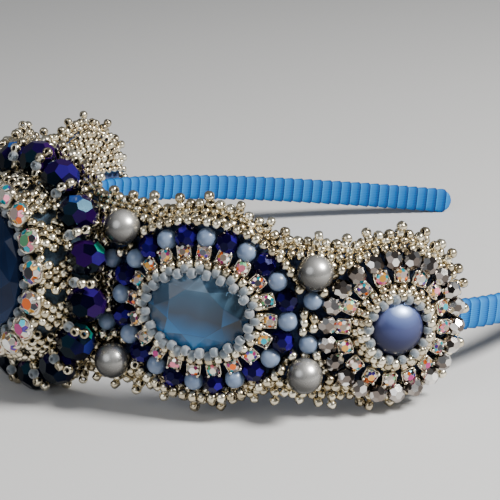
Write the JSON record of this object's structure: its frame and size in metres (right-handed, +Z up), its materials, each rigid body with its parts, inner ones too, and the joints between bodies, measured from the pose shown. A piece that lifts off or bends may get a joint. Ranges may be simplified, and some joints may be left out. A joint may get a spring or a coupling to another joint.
{
  "type": "beaded headband",
  "caption": "Headband lying on its side: a ribbon-wound hoop, open at its tips, whose crown carries a scalloped felt panel of bead-embroidered medallions.",
  "frame": {"origin": "on the surface that the headband lies on, below the middle of its bounding box", "axes": "+Z up, +Y from the crown towards the open tips, +X across the hoop from the left arm to the right one"},
  "size_m": [0.143, 0.1672, 0.054],
  "materials": {
    "ribbon": "wound grosgrain ribbon",
    "felt": "matte felt",
    "seeds": "silver-lined glass seeds",
    "stone": "milky faceted glass",
    "navy_glass": "faceted, aurora coating",
    "bead_ring": "opaque light blue and clear cobalt beads in turn",
    "pearl": "satin pearl",
    "light_bead": "milky opaque",
    "cabochon": "pearl coating",
    "crystal": "set crystals, aurora coating",
    "faceted_silver": "faceted, mirror"
  },
  "bodies": {
    "root": {"headband_hoop": "ribbon", "felt_panel": "felt", "edge_beading": "seeds", "center_dome": "felt", "main_stone": "stone", "main_bezel": "seeds", "main_chaton_ring": "crystal", "dark_bead_01": "navy_glass", "dark_bead_02": "navy_glass", "dark_bead_03": "navy_glass", "dark_bead_04": "navy_glass", "dark_bead_05": "navy_glass", "dark_bead_06": "navy_glass", "dark_bead_07": "navy_glass", "dark_bead_08": "navy_glass", "dark_bead_09": "navy_glass", "dark_bead_10": "navy_glass", "dark_bead_11": "navy_glass", "dark_bead_12": "navy_glass", "dark_bead_13": "navy_glass", "dark_bead_14": "navy_glass", "dark_bead_15": "navy_glass", "oval_stone_left": "stone", "oval_bezel_left": "seeds", "oval_chaton_chain_left": "crystal", "oval_bead_ring_left": "bead_ring", "end_cabochon_left": "cabochon", "end_bezel_left": "seeds", "end_chaton_chain_left": "crystal", "end_faceted_ring_left": "faceted_silver", "oval_stone_right": "stone", "oval_bezel_right": "seeds", "oval_chaton_chain_right": "crystal", "oval_bead_ring_right": "bead_ring", "end_cabochon_right": "cabochon", "end_bezel_right": "seeds", "end_chaton_chain_right": "crystal", "end_faceted_ring_right": "faceted_silver", "pearl_01": "pearl", "accent_bead_01": "light_bead", "pearl_02": "pearl", "accent_bead_02": "light_bead", "pearl_03": "pearl", "accent_bead_03": "light_bead", "pearl_04": "pearl", "accent_bead_04": "light_bead", "pearl_05": "pearl", "accent_bead_05": "light_bead", "pearl_06": "pearl", "accent_bead_06": "light_bead", "pearl_07": "pearl", "accent_bead_07": "light_bead", "pearl_08": "pearl", "accent_bead_08": "light_bead"}
  },
  "joints": []
}
